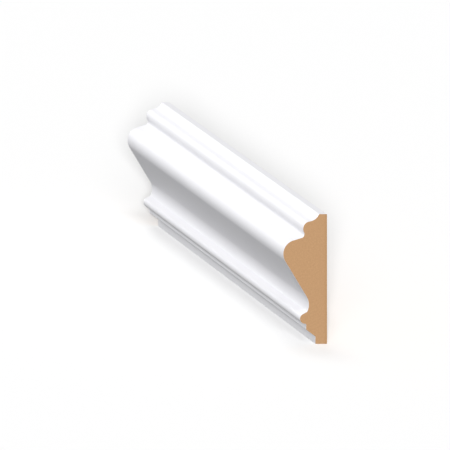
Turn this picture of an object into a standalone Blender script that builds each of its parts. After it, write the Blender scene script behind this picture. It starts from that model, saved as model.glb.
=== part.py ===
"""Panel moulding: one length of primed fibreboard moulding with a beaded, ogee-shaped face.

Units are metres and +Z is up. The length runs along X, the decorated face looks towards -Y, and the
flat back lies on the plane y = 0. The origin is the middle of the back, which is glued or pinned to
a wall or a door panel. Both ends are sawn square.
"""

import math

import bpy
from mathutils import Vector

# Length of the piece, from one sawn end to the other
LENGTH = 0.168

# Thickness from the flat back out to each member
FOOT_DEPTH = 0.00515
SCOOP_DEPTH = 0.0080
BELLY_DEPTH = 0.0192
BEAD_DEPTH = 0.0105
TOP_DEPTH = 0.0035

# How far the step stands out beyond the foot, and the nub, the small low bead, beyond the step
STEP_PROJECTION = 0.00405
NUB_PROJECTION = 0.0027

# Heights, stacked from the bottom edge up
FOOT_HEIGHT = 0.0033
SPLAY_HEIGHT = 0.0030
STEP_HEIGHT = 0.0025
CREASE_RISE = 0.00085     # top of the nub to the crease in which the scoop ends
SCOOP_RISE = 0.0031       # crease to the deepest point of the scoop
OGEE_RISE = 0.0222        # deepest point of the scoop to the fullest point of the belly
SHOULDER_RISE = 0.00075   # top of the belly's round to the bottom of the quirk's
BEAD_RISE = 0.0023        # middle of the quirk to the fullest point of the bead
COVE_HEIGHT = 0.0032      # top of the bead's round to the top edge

# Radii of the round members
NUB_RADIUS = 0.00225
SCOOP_RADIUS = 0.0068
BELLY_RADIUS = 0.00625
QUIRK_RADIUS = 0.0017
BEAD_RADIUS = 0.00335
COVE_RADIUS = 0.00525

# Largest turn between two neighbouring points of an arc
ARC_STEP = math.radians(4.0)

# White primer as painted on the board
PRIMER_COLOUR = (0.86, 0.86, 0.87, 1.0)
PRIMER_ROUGHNESS = 0.55


def on_circle(centre, radius, angle):
    """The point of a circle at an angle, which is counted from straight out of the wall."""
    return centre + radius * Vector((math.cos(angle), math.sin(angle)))


def arc(centre, radius, start, end):
    """Points along an arc, from the start angle to the end angle, both ends included."""
    steps = max(2, math.ceil(abs(end - start) / ARC_STEP))
    return [on_circle(centre, radius, start + (end - start) * i / steps) for i in range(steps + 1)]


def heading(offset):
    """The angle of an offset, counted in the same way."""
    return math.atan2(offset.y, offset.x)


def touching_hollow(swell, swell_radius, corner, radius):
    """Centre of a hollow arc that ends at a corner above a swell and touches the swell below it."""
    between = corner - swell
    far = swell_radius + radius
    along = (between.length ** 2 + far ** 2 - radius ** 2) / (2 * between.length)
    return on_circle(swell, far, heading(between) - math.acos(along / far))


def crossing_tangent(swell, swell_radius, hollow, hollow_radius, side):
    """Angles at which one straight line leaves a swell and runs smoothly into a hollow.

    side is +1 where the hollow lies above the swell and -1 where it lies below. The hollow's angle
    is the swell's, turned half round, because the line touches the two circles on opposite sides.
    """
    between = hollow - swell
    turn = math.acos((swell_radius + hollow_radius) / between.length)
    swell_angle = heading(between) - side * turn
    return swell_angle, swell_angle + side * math.pi


def foot_and_step():
    """The square foot, the splay above it and the flat step, as far as the nub."""
    step_depth = FOOT_DEPTH + STEP_PROJECTION
    splay_top = FOOT_HEIGHT + SPLAY_HEIGHT
    return [
        Vector((FOOT_DEPTH, 0.0)),
        Vector((FOOT_DEPTH, FOOT_HEIGHT)),
        Vector((step_depth, splay_top)),
        Vector((step_depth, splay_top + STEP_HEIGHT)),
    ]


def nub(step_top, crease):
    """The small bead on the step, with a straight back that rises to the crease under the scoop."""
    centre = Vector((step_top.x + NUB_PROJECTION - NUB_RADIUS, step_top.y + NUB_RADIUS))
    buried = max(0.0, step_top.x - centre.x)
    to_crease = crease - centre
    last = heading(to_crease) - math.acos(NUB_RADIUS / to_crease.length)
    return arc(centre, NUB_RADIUS, -math.acos(buried / NUB_RADIUS), last)


def profile():
    """The outline of the cut end, counter-clockwise: x is out from the back, y is up."""
    points = [Vector((0.0, 0.0))]
    points += foot_and_step()
    step_top = points[-1]

    # The scoop runs down to a crease, where the back of the nub cuts it off
    crease_level = step_top.y + 2 * NUB_RADIUS + CREASE_RISE
    scoop = Vector((SCOOP_DEPTH + SCOOP_RADIUS, crease_level + SCOOP_RISE))
    crease_angle = math.pi + math.asin(SCOOP_RISE / SCOOP_RADIUS)
    points += nub(step_top, on_circle(scoop, SCOOP_RADIUS, crease_angle))

    # The upper bead and the quirk under it touch without a corner
    belly = Vector((BELLY_DEPTH - BELLY_RADIUS, scoop.y + OGEE_RISE))
    quirk_level = belly.y + BELLY_RADIUS + SHOULDER_RISE + QUIRK_RADIUS
    bead = Vector((BEAD_DEPTH - BEAD_RADIUS, quirk_level + BEAD_RISE))
    reach = math.sqrt((BEAD_RADIUS + QUIRK_RADIUS) ** 2 - BEAD_RISE ** 2)
    quirk = Vector((bead.x + reach, quirk_level))

    # Straight lines join the scoop to the belly, and the belly's shoulder to the quirk
    belly_foot, scoop_end = crossing_tangent(belly, BELLY_RADIUS, scoop, SCOOP_RADIUS, -1)
    belly_top, quirk_start = crossing_tangent(belly, BELLY_RADIUS, quirk, QUIRK_RADIUS, 1)
    points += arc(scoop, SCOOP_RADIUS, crease_angle, scoop_end + 2 * math.pi)
    points += arc(belly, BELLY_RADIUS, belly_foot, belly_top)

    # The cove touches the bead below it and ends at the front of the flat top edge
    top_corner = Vector((TOP_DEPTH, bead.y + BEAD_RADIUS + COVE_HEIGHT))
    cove = touching_hollow(bead, BEAD_RADIUS, top_corner, COVE_RADIUS)
    bead_foot = heading(quirk - bead)
    bead_top = heading(cove - bead)
    points += arc(quirk, QUIRK_RADIUS, quirk_start, bead_foot + math.pi)
    points += arc(bead, BEAD_RADIUS, bead_foot, bead_top)[1:]
    points += arc(cove, COVE_RADIUS, bead_top - math.pi, heading(top_corner - cove))[1:]
    points.append(Vector((0.0, top_corner.y)))
    return points


def primer_material():
    material = bpy.data.materials.new("white_primer")
    material.use_nodes = True
    shader = material.node_tree.nodes["Principled BSDF"]
    shader.inputs["Base Color"].default_value = PRIMER_COLOUR
    shader.inputs["Roughness"].default_value = PRIMER_ROUGHNESS
    shader.inputs["Metallic"].default_value = 0.0
    material.diffuse_color = PRIMER_COLOUR
    return material


def moulding(collection):
    """The outline as a flat curve, centred on its height and drawn out to the piece's length."""
    outline = profile()
    middle = outline[-1].y / 2
    curve = bpy.data.curves.new("panel_moulding", "CURVE")
    curve.dimensions = "2D"
    curve.fill_mode = "BOTH"
    curve.extrude = LENGTH / 2
    spline = curve.splines.new("POLY")
    spline.points.add(len(outline) - 1)
    for point, place in zip(spline.points, outline):
        point.co = (place.y - middle, -place.x, 0.0, 1.0)
    spline.use_cyclic_u = True
    curve.materials.append(primer_material())

    # The outline is drawn lying down, its heights along X, and a quarter turn stands it up. Drawn
    # upright, some sizes leave doubled triangles in the quirk when the curve is filled.
    piece = bpy.data.objects.new("panel_moulding", curve)
    piece.rotation_euler = (0.0, -math.pi / 2, 0.0)
    collection.objects.link(piece)
    return piece


def main():
    for old in list(bpy.data.objects):
        bpy.data.objects.remove(old, do_unlink=True)
    collection = bpy.data.collections.new("Panel Moulding")
    bpy.context.scene.collection.children.link(collection)
    moulding(collection)


main()
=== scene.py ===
import math

import bpy
from mathutils import Matrix, Vector


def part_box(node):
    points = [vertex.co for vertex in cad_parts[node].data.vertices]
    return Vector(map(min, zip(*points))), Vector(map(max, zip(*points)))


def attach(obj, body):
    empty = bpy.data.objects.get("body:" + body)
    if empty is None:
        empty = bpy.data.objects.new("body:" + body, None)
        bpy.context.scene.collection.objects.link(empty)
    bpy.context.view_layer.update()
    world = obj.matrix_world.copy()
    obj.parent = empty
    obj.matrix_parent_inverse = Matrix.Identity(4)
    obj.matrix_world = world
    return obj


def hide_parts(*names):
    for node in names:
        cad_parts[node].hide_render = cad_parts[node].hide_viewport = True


# A length of primed MDF panel moulding over a pale studio floor, seen from its sawn end.
# Metres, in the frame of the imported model: the length runs along X, the moulded face looks
# towards -Y, the flat back lies on y = 0 and the square foot is at the bottom.

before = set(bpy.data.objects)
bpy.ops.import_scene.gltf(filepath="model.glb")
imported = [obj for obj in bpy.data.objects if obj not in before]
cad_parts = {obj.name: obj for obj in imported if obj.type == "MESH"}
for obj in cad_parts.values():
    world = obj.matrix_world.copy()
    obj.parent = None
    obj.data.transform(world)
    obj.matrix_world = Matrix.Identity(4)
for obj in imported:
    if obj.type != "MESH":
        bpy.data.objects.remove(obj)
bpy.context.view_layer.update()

MM = 0.001

# The board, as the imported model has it
LOW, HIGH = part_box("panel_moulding")
LENGTH = HIGH.x - LOW.x
HEIGHT = HIGH.z - LOW.z

# Members of the face: how far each stands out from the back, and heights stacked from the foot up
FOOT_OUT, FOOT_UP = 5.15 * MM, 3.3 * MM
STEP_OUT, SPLAY_UP, STEP_UP = 9.2 * MM, 3.0 * MM, 2.5 * MM
NUB_PROUD, NUB_RADIUS = 2.7 * MM, 2.25 * MM
CREASE_UP = 0.85 * MM
SCOOP_OUT, SCOOP_UP, SCOOP_RADIUS = 8.0 * MM, 3.1 * MM, 6.8 * MM
BELLY_OUT, OGEE_UP, BELLY_RADIUS = 19.2 * MM, 22.2 * MM, 6.25 * MM
SHOULDER_UP, QUIRK_RADIUS = 0.75 * MM, 1.7 * MM
BEAD_OUT, BEAD_UP, BEAD_RADIUS = 10.5 * MM, 2.3 * MM, 3.35 * MM
COVE_RADIUS, TOP_OUT = 5.25 * MM, 3.5 * MM

# The cutter leaves its sharp corners a touch round, and the coat of primer rounds the sawn rim
ARRIS = 0.24 * MM
COAT = 0.05 * MM

# Largest turn between two neighbouring facets of a round member
FACET = math.radians(2.5)

# Where two members meet, their points are merged when they are closer than this
MERGE = 0.005 * MM

# Order of the finishes on the piece
PRIMED, SAWN, SANDED = range(3)

# The lens: degrees round from the sawn end towards the moulded face, and degrees above the floor
LENS = (22.7, 15.8)


# Outline of the cut end, drawn in two directions: out from the back, and up from the foot

def in_place(spot):
    """Where a spot of the outline lies, halfway along the length."""
    return Vector((0.0, HIGH.y - spot.x, LOW.z + spot.y))


def on_round(centre, radius, angle):
    """A spot on a round member, at an angle counted upwards from straight out."""
    return centre + radius * Vector((math.cos(angle), math.sin(angle)))


def heading(offset):
    """The angle of an offset, counted in the same way."""
    return math.atan2(offset.y, offset.x)


def leaving_angle(swell, swell_radius, hollow, hollow_radius, side):
    """Angle at which a straight leaves a swell to run smoothly into a hollow, which lies above the
    swell where side is +1 and below it where side is -1."""
    between = hollow - swell
    return heading(between) - side * math.acos((swell_radius + hollow_radius) / between.length)


def touching_hollow(swell, swell_radius, corner, radius):
    """Centre of a hollow that ends at a corner above a swell and touches the swell below it."""
    between = corner - swell
    far = swell_radius + radius
    along = (between.length ** 2 + far ** 2 - radius ** 2) / (2 * between.length)
    return on_round(swell, far, heading(between) - math.acos(along / far))


# The moulding, drawn as by the cutter: one edge of the back is carried round the whole outline

def edges_where(piece, wanted):
    """Selects the edges whose two ends both meet a condition."""
    bpy.ops.object.mode_set(mode="EDIT")
    bpy.ops.mesh.select_mode(type="EDGE")
    bpy.ops.mesh.select_all(action="DESELECT")
    bpy.ops.object.mode_set(mode="OBJECT")
    vertices = piece.data.vertices
    for edge in piece.data.edges:
        edge.select = all(wanted(vertices[i].co) for i in edge.vertices)
    bpy.ops.object.mode_set(mode="EDIT")


def rim_of(piece, end):
    """Selects the edges that lie in one sawn end."""
    edges_where(piece, lambda spot: abs(spot.x - end) < 0.01 * MM)


def ease(width, clamp):
    """Rounds the selected edges with three facets."""
    bpy.ops.mesh.bevel(offset=width, offset_type="OFFSET", segments=3, profile=0.5,
                       clamp_overlap=clamp)


def merge_all():
    """Merges the points that members share, over the whole piece."""
    bpy.ops.mesh.select_all(action="SELECT")
    bpy.ops.mesh.remove_doubles(threshold=MERGE)


def straight(here, spot):
    """Carries the selected edge straight on to a spot of the outline."""
    bpy.ops.mesh.extrude_edges_move(
        TRANSFORM_OT_translate={"value": in_place(spot) - in_place(here)})
    return spot


def round_member(here, centre, turn):
    """Swings the selected edge about the centre of a round member."""
    steps = max(2, math.ceil(abs(turn) / FACET))
    bpy.ops.mesh.spin(steps=steps, angle=turn, center=in_place(centre), axis=(1, 0, 0))
    return centre + Matrix.Rotation(turn, 2) @ (here - centre)


def foot_and_step():
    """From the bottom of the back round the square foot, up the splay and the flat of the step."""
    splay_top = FOOT_UP + SPLAY_UP
    here = Vector((0.0, 0.0))
    for spot in ((FOOT_OUT, 0.0), (FOOT_OUT, FOOT_UP), (STEP_OUT, splay_top),
                 (STEP_OUT, splay_top + STEP_UP)):
        here = straight(here, Vector(spot))
    return here


def nub(here, crease):
    """The small bead on the step, and its straight back up to the crease under the scoop."""
    centre = Vector((here.x + NUB_PROUD - NUB_RADIUS, here.y + NUB_RADIUS))
    start = -math.acos(max(0.0, here.x - centre.x) / NUB_RADIUS)
    to_crease = crease - centre
    last = heading(to_crease) - math.acos(NUB_RADIUS / to_crease.length)
    here = straight(here, on_round(centre, NUB_RADIUS, start))
    here = round_member(here, centre, last - start)
    return straight(here, crease)


def ogee(here, scoop, belly, crease_angle, shoulder):
    """The scoop, the long straight slope and the full belly above it, as far as its shoulder."""
    slope_top = leaving_angle(belly, BELLY_RADIUS, scoop, SCOOP_RADIUS, -1)
    here = round_member(here, scoop, slope_top + math.pi - crease_angle)
    here = straight(here, on_round(belly, BELLY_RADIUS, slope_top))
    return round_member(here, belly, shoulder - slope_top)


def upper_members(here, quirk, bead, shoulder):
    """The quirk over the belly's shoulder, the round bead, the cove and the flat top edge."""
    corner = Vector((TOP_OUT, HEIGHT))
    cove = touching_hollow(bead, BEAD_RADIUS, corner, COVE_RADIUS)
    bead_foot, bead_top = heading(quirk - bead), heading(cove - bead)
    here = straight(here, on_round(quirk, QUIRK_RADIUS, shoulder - math.pi))
    here = round_member(here, quirk, bead_foot - shoulder)
    here = round_member(here, bead, bead_top - bead_foot)
    here = round_member(here, cove, heading(corner - cove) - (bead_top - math.pi))
    return straight(here, Vector((0.0, HEIGHT)))


def whole_outline():
    """Sets out the centres of the round members, and draws one member after the other."""
    step_top = foot_and_step()
    crease_level = step_top.y + 2 * NUB_RADIUS + CREASE_UP
    scoop = Vector((SCOOP_OUT + SCOOP_RADIUS, crease_level + SCOOP_UP))
    crease_angle = math.pi + math.asin(SCOOP_UP / SCOOP_RADIUS)
    belly = Vector((BELLY_OUT - BELLY_RADIUS, scoop.y + OGEE_UP))
    quirk_level = belly.y + BELLY_RADIUS + SHOULDER_UP + QUIRK_RADIUS
    bead = Vector((BEAD_OUT - BEAD_RADIUS, quirk_level + BEAD_UP))
    reach = math.sqrt((BEAD_RADIUS + QUIRK_RADIUS) ** 2 - BEAD_UP ** 2)
    quirk = Vector((bead.x + reach, quirk_level))
    shoulder = leaving_angle(belly, BELLY_RADIUS, quirk, QUIRK_RADIUS, 1)

    here = nub(step_top, on_round(scoop, SCOOP_RADIUS, crease_angle))
    here = ogee(here, scoop, belly, crease_angle, shoulder)
    upper_members(here, quirk, bead, shoulder)


def moulding():
    """The length of moulding as one closed solid: the back, the outline, then the sawn ends."""
    bpy.ops.object.select_all(action="DESELECT")
    bpy.ops.mesh.primitive_plane_add(size=1, location=(0.0, HIGH.y, (LOW.z + HIGH.z) / 2),
                                     rotation=(math.pi / 2, 0.0, 0.0))
    piece = bpy.context.object
    piece.name = piece.data.name = "primed_moulding"
    piece.scale = (LENGTH, HEIGHT, 1.0)
    bpy.ops.object.transform_apply(location=True, rotation=True, scale=True)

    foot_line = LOW.z + 0.1 * MM
    edges_where(piece, lambda spot: spot.z < foot_line)
    whole_outline()
    merge_all()

    # Sharp corners along the length are eased before the ends are closed
    bpy.ops.mesh.select_all(action="DESELECT")
    bpy.ops.mesh.edges_select_sharp(sharpness=math.radians(12.0))
    ease(ARRIS, clamp=True)
    for end in (LOW.x, HIGH.x):
        rim_of(piece, end)
        bpy.ops.mesh.edge_face_add()
    bpy.ops.mesh.select_all(action="SELECT")
    bpy.ops.mesh.normals_make_consistent(inside=False)

    # The coat of primer turns over the rim of both sawn ends
    for end in (LOW.x, HIGH.x):
        rim_of(piece, end)
        ease(COAT, clamp=False)
    merge_all()
    bpy.ops.object.mode_set(mode="OBJECT")
    return piece


def shade(piece):
    """Smooth round members between flat ones, with the large flats kept truly flat."""
    bpy.ops.object.select_all(action="DESELECT")
    piece.select_set(True)
    bpy.context.view_layer.objects.active = piece
    bpy.ops.object.shade_smooth_by_angle(angle=math.radians(40.0))
    bpy.ops.object.modifier_add(type="WEIGHTED_NORMAL")
    piece.modifiers[-1].keep_sharp = True
    bpy.ops.object.modifier_apply(modifier=piece.modifiers[-1].name)


# Finishes. A colour mix has its two colours on sockets 6 and 7, and its result on output 2.

def linear(hex_colour):
    """A colour written as an sRGB hex value, as the plain light values that a shader takes."""
    parts = [int(hex_colour[i:i + 2], 16) / 255 for i in (1, 3, 5)]
    values = [p / 12.92 if p <= 0.04045 else ((p + 0.055) / 1.055) ** 2.4 for p in parts]
    return (*values, 1.0)


def per_metre(size_mm):
    """How many marks of a size in millimetres fit in a metre, which is a noise texture's scale."""
    return 1000.0 / size_mm


def rings_per_metre(size_mm):
    """A wave texture's scale for lines that far apart: one wave of it is pi / 10 units long."""
    return per_metre(size_mm) * math.pi / 10


def add(tree, kind, settings=None, **links):
    """Adds a node. Settings are its own choices, or the values of its sockets. Each link names a
    socket, by its name with _ for a space or by in_ and its number, and gives what feeds it."""
    node = tree.nodes.new(kind)
    for name, value in (settings or {}).items():
        if isinstance(name, str) and name[0].islower():
            setattr(node, name, value)
        else:
            node.inputs[name].default_value = value
    for name, source in links.items():
        socket = int(name[3:]) if name.startswith("in_") else name.replace("_", " ")
        tree.links.new(source, node.inputs[socket])
    return node


def new_finish(name):
    """An empty material with its shader, and the piece's own coordinates in metres."""
    finish = bpy.data.materials.new(name)
    finish.use_nodes = True
    tree = finish.node_tree
    spots = add(tree, "ShaderNodeTexCoord").outputs["Object"]
    return finish, tree, tree.nodes["Principled BSDF"], spots


def white_primer():
    """Water-based primer, flooded on at the mill and cured: it gives the eye a soft eggshell white
    with a very faint skin, a little uneven in tone, and hair-fine lines run along by the cutter."""
    finish, tree, shader, spots = new_finish("white_primer_on_mdf")
    shader.inputs["IOR"].default_value = 1.48
    clouds = add(tree, "ShaderNodeTexNoise", {"Scale": per_metre(11.0), "Detail": 2.0},
                 Vector=spots)
    tone = add(tree, "ShaderNodeMix", {"data_type": "RGBA", 6: linear("#E5E5E9"),
                                       7: linear("#E9E9EC")}, Factor=clouds.outputs["Fac"])
    tree.links.new(tone.outputs[2], shader.inputs["Base Color"])

    # Real raised fibre is about 0.2 mm long, drawn at 0.9 mm so that it shows at all. The cutter's
    # lines are the same kind of mark, 0.8 mm wide and drawn out along the length.
    skin = add(tree, "ShaderNodeTexNoise", {"Scale": per_metre(0.9), "Detail": 3.0}, Vector=spots)
    drawn_out = add(tree, "ShaderNodeMapping", {"Scale": (0.06, 1.0, 1.0)}, Vector=spots)
    lines = add(tree, "ShaderNodeTexNoise", {"Scale": per_metre(0.8), "Detail": 2.0},
                Vector=drawn_out.outputs[0])
    relief = add(tree, "ShaderNodeMath", {"operation": "MULTIPLY_ADD", 1: 0.5},
                 in_0=lines.outputs["Fac"], in_2=skin.outputs["Fac"])
    bump = add(tree, "ShaderNodeBump", {"Strength": 0.35, "Distance": 0.04 * MM},
               Height=relief.outputs[0])
    tree.links.new(bump.outputs[0], shader.inputs["Normal"])
    gloss = add(tree, "ShaderNodeMapRange", {"To Min": 0.47, "To Max": 0.57},
                Value=skin.outputs["Fac"])
    tree.links.new(gloss.outputs[0], shader.inputs["Roughness"])
    return finish


def sawn_mdf():
    """Raw MDF as the saw leaves it: even tan with fine light and dark fibre, denser and a shade
    darker towards the board's sanded back, and shallow arcs from the blade."""
    finish, tree, shader, spots = new_finish("sawn_mdf")
    shader.inputs["IOR"].default_value = 1.45
    shader.inputs["Specular IOR Level"].default_value = 0.25

    # Fibre bundles are 0.1 to 0.3 mm across, drawn at 0.7 mm, which is under two pixels
    fibre = add(tree, "ShaderNodeTexNoise", {"Scale": per_metre(0.7), "Detail": 4.0,
                                             "Roughness": 0.65}, Vector=spots)
    flecks = add(tree, "ShaderNodeMapRange", {"From Min": 0.34, "From Max": 0.66},
                 Value=fibre.outputs["Fac"])
    body = add(tree, "ShaderNodeMix", {"data_type": "RGBA", 6: linear("#C2986F"),
                                       7: linear("#CBA177")}, Factor=flecks.outputs[0])

    # Pressing leaves the board denser in the last 1.6 mm under its back
    depth = add(tree, "ShaderNodeSeparateXYZ", Vector=spots)
    skin = add(tree, "ShaderNodeMapRange", {"From Min": -1.6 * MM, "From Max": -0.2 * MM,
                                            "interpolation_type": "SMOOTHSTEP", "To Max": 0.35},
               Value=depth.outputs["Y"])
    dense = add(tree, "ShaderNodeMix", {"data_type": "RGBA", 7: linear("#B28759")},
                Factor=skin.outputs[0], in_6=body.outputs[2])
    tree.links.new(dense.outputs[2], shader.inputs["Base Color"])

    # A 250 mm mitre saw blade that comes down from the front leaves arcs about 1.3 mm apart
    blade = add(tree, "ShaderNodeMapping", {"Location": (0.0, 70 * MM, -110 * MM)}, Vector=spots)
    arcs = add(tree, "ShaderNodeTexWave", {"wave_type": "RINGS", "rings_direction": "X",
                                           "Scale": rings_per_metre(1.3), "Distortion": 1.5,
                                           "Detail": 2.0, "Detail Scale": 0.6},
               Vector=blade.outputs[0])
    relief = add(tree, "ShaderNodeMath", {"operation": "ADD"}, in_0=arcs.outputs["Fac"],
                 in_1=fibre.outputs["Fac"])
    bump = add(tree, "ShaderNodeBump", {"Strength": 0.45, "Distance": 0.05 * MM},
               Height=relief.outputs[0])
    tree.links.new(bump.outputs[0], shader.inputs["Normal"])
    rough = add(tree, "ShaderNodeMapRange", {"To Min": 0.82, "To Max": 0.95},
                Value=fibre.outputs["Fac"])
    tree.links.new(rough.outputs[0], shader.inputs["Roughness"])
    return finish


def sanded_mdf():
    """The raw back of the board, sanded at the mill: smoother, darker and closer than a sawn end,
    faintly streaked along its length, with primer that has crept round its two long edges."""
    finish, tree, shader, spots = new_finish("sanded_mdf_back")
    shader.inputs["IOR"].default_value = 1.45
    shader.inputs["Specular IOR Level"].default_value = 0.3
    fibre = add(tree, "ShaderNodeTexNoise", {"Scale": per_metre(1.1), "Detail": 4.0,
                                             "Roughness": 0.6}, Vector=spots)
    along = add(tree, "ShaderNodeMapping", {"Scale": (0.02, 1.0, 1.0)}, Vector=spots)
    streaks = add(tree, "ShaderNodeTexNoise", {"Scale": per_metre(0.6), "Detail": 2.0},
                  Vector=along.outputs[0])
    both = add(tree, "ShaderNodeMath", {"operation": "MULTIPLY_ADD", 1: 0.5},
               in_0=streaks.outputs["Fac"], in_2=fibre.outputs["Fac"])
    mottle = add(tree, "ShaderNodeMapRange", {"From Min": 0.55, "From Max": 0.95},
                 Value=both.outputs[0])
    board = add(tree, "ShaderNodeMix", {"data_type": "RGBA", 6: linear("#B0895F"),
                                        7: linear("#C29C73")}, Factor=mottle.outputs[0])

    # The primer creeps up to 1 mm on to the back, further at some spots than at others
    height = add(tree, "ShaderNodeSeparateXYZ", Vector=spots)
    from_middle = add(tree, "ShaderNodeMath", {"operation": "ABSOLUTE"}, in_0=height.outputs["Z"])
    ragged = add(tree, "ShaderNodeTexNoise", {"Scale": per_metre(6.0), "Detail": 5.0,
                                              "Roughness": 0.7}, Vector=spots)
    reach = add(tree, "ShaderNodeMath", {"operation": "MULTIPLY_ADD", 1: 2.5 * MM},
                in_0=ragged.outputs["Fac"], in_2=from_middle.outputs[0])
    crept = add(tree, "ShaderNodeMapRange", {"From Min": HEIGHT / 2 + 0.75 * MM,
                                             "From Max": HEIGHT / 2 + 1.15 * MM},
                Value=reach.outputs[0])
    colour = add(tree, "ShaderNodeMix", {"data_type": "RGBA", 7: linear("#E2E1E0")},
                 Factor=crept.outputs[0], in_6=board.outputs[2])
    tree.links.new(colour.outputs[2], shader.inputs["Base Color"])
    bump = add(tree, "ShaderNodeBump", {"Strength": 0.25, "Distance": 0.02 * MM},
               Height=both.outputs[0])
    tree.links.new(bump.outputs[0], shader.inputs["Normal"])
    rough = add(tree, "ShaderNodeMapRange", {"To Min": 0.7, "To Max": 0.82},
                Value=fibre.outputs["Fac"])
    tree.links.new(rough.outputs[0], shader.inputs["Roughness"])
    return finish


def coat_and_bare_board(piece):
    """Primer on every milled face, and bare board where the saw or the sander was last."""
    for finish in (white_primer(), sawn_mdf(), sanded_mdf()):
        piece.data.materials.append(finish)
    for face in piece.data.polygons:
        face.material_index = PRIMED
        if abs(face.normal.x) > 0.99:
            face.material_index = SAWN
        elif face.normal.y > 0.1:    # the back, with the eased edges all round it
            face.material_index = SANDED


# Studio

def floor():
    """A wide sheet of pale paper, right under the foot. It is so wide that no view sees its end."""
    bpy.ops.mesh.primitive_plane_add(size=30.0, location=(0.0, 0.0, LOW.z))
    sheet = bpy.context.object
    sheet.name = "pale_floor"
    bpy.ops.object.transform_apply(location=True, rotation=True, scale=True)
    finish, _, shader, _ = new_finish("pale_matt_paper")
    shader.inputs["Base Color"].default_value = linear("#F1F1F1")
    shader.inputs["Roughness"].default_value = 0.9
    shader.inputs["Specular IOR Level"].default_value = 0.0
    sheet.data.materials.append(finish)

    # The shade under the ogee is deep in the photo, so the floor throws no light back up at it
    sheet.visible_diffuse = False
    sheet.visible_glossy = False
    sheet.visible_shadow = False
    return sheet


def softbox(name, lit, turn, height, spread, strength):
    """A softbox, flagged so that it lights one thing alone, and far enough off to light that
    evenly. It stands some degrees round from the sawn end towards the moulded face, and some
    degrees above the floor, and spread is how many degrees wide it looks from the floor."""
    turn, height = math.radians(turn), math.radians(height)
    towards = Vector((math.cos(turn) * math.cos(height), -math.sin(turn) * math.cos(height),
                      math.sin(height)))
    box = bpy.data.lights.new(name, "SUN")
    box.energy = strength
    box.angle = math.radians(spread)
    stand = bpy.data.objects.new(name, box)
    stand.matrix_world = towards.to_track_quat("Z", "Y").to_matrix().to_4x4()
    bpy.context.scene.collection.objects.link(stand)
    flagged = bpy.data.collections.new(name + "_lights")
    flagged.objects.link(lit)
    stand.light_linking.receiver_collection = flagged


def room_light(strength):
    """Even light from the white room all round."""
    room = bpy.data.worlds.new("soft_room")
    room.use_nodes = True
    background = room.node_tree.nodes["Background"]
    background.inputs["Color"].default_value = (1.0, 1.0, 1.0, 1.0)
    background.inputs["Strength"].default_value = strength
    bpy.context.scene.world = room


def camera():
    """The photo shows the sawn end square-on and the length running back to the upper left, as a
    camera with a slanted back does. So a camera that looks squarely at the end is set on a slant,
    which slides the picture sideways and down and leaves the end undistorted."""
    picture = 450.0                           # pixels across the photo, and down it
    pixel = HEIGHT / 130.0                    # the end is 130 pixels high in the photo
    shrink = 0.9544                           # the far end's size beside the near end's
    distance = LENGTH * shrink / (1.0 - shrink)
    corner_x, middle_y = 327.05, 279.0        # where the photo has the middle of the end's back
    vanish_x, vanish_y = -3130.8, -2239.0     # where the long lines would meet, left and above
    eye = Vector((HIGH.x + distance, (vanish_x - corner_x) * pixel, (middle_y - vanish_y) * pixel))
    aim = Vector((HIGH.x, (picture / 2 - corner_x) * pixel, (middle_y - picture / 2) * pixel))

    lens = bpy.data.cameras.new("camera")
    lens.sensor_width = 36.0
    lens.clip_start, lens.clip_end = 0.1, 30.0
    eye_piece = bpy.data.objects.new("camera", lens)
    bpy.context.scene.collection.objects.link(eye_piece)
    holder = bpy.data.objects.new("slanted_back", None)
    bpy.context.scene.collection.objects.link(holder)

    # Square to the end: across the picture is +Y, up is +Z, and the lens looks along -X
    square = Matrix(((0, 0, 1), (1, 0, 0), (0, 1, 0))).to_4x4()
    square.translation = eye
    ray = aim - eye
    slant = Matrix.Identity(4)
    slant[1][0], slant[2][0] = ray.y / ray.x, ray.z / ray.x
    eye_piece.parent = holder
    eye_piece.matrix_parent_inverse = Matrix.Translation(eye) @ slant @ Matrix.Translation(-eye)
    eye_piece.matrix_basis = square
    bpy.context.view_layer.update()
    stretch = eye_piece.matrix_world.col[2].xyz.length
    lens.lens = lens.sensor_width * distance / (picture * pixel) * stretch
    bpy.context.scene.camera = eye_piece


piece = moulding()
shade(piece)
coat_and_bare_board(piece)
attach(piece, "root")
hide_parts("panel_moulding")

# Each softbox: the way it stands, how wide it looks, and its strength
paper = floor()
softbox("soft_light_by_the_lens", piece, *LENS, 15.0, 2.25)
softbox("light_high_over_the_lens", piece, LENS[0], 70.0, 20.0, 0.56)
softbox("light_low_at_left", piece, 135.0, 20.0, 20.0, 0.76)
softbox("light_higher_at_left", piece, 135.0, 45.0, 20.0, 0.58)
softbox("wide_light_above", piece, 100.0, 70.0, 120.0, 0.97)
softbox("light_on_the_back", piece, -90.0, 0.0, 10.0, 1.9)
softbox("light_on_the_far_end", piece, 180.0, 0.0, 10.0, 1.0)

# The paper has its own lights: the one beside the lens gives the soft rim of shade that the photo
# has round the moulding
softbox("paper_light_by_the_lens", paper, *LENS, 7.0, 5.5)
softbox("paper_light_over_the_lens", paper, LENS[0], 30.0, 30.0, 0.97)
softbox("paper_light_high_over_the_lens", paper, LENS[0], 60.0, 15.0, 0.57)
softbox("paper_light_high_at_the_far_end", paper, 180.0, 70.0, 20.0, 0.43)
room_light(0.216)
camera()
bpy.context.scene.view_settings.view_transform = "Standard"
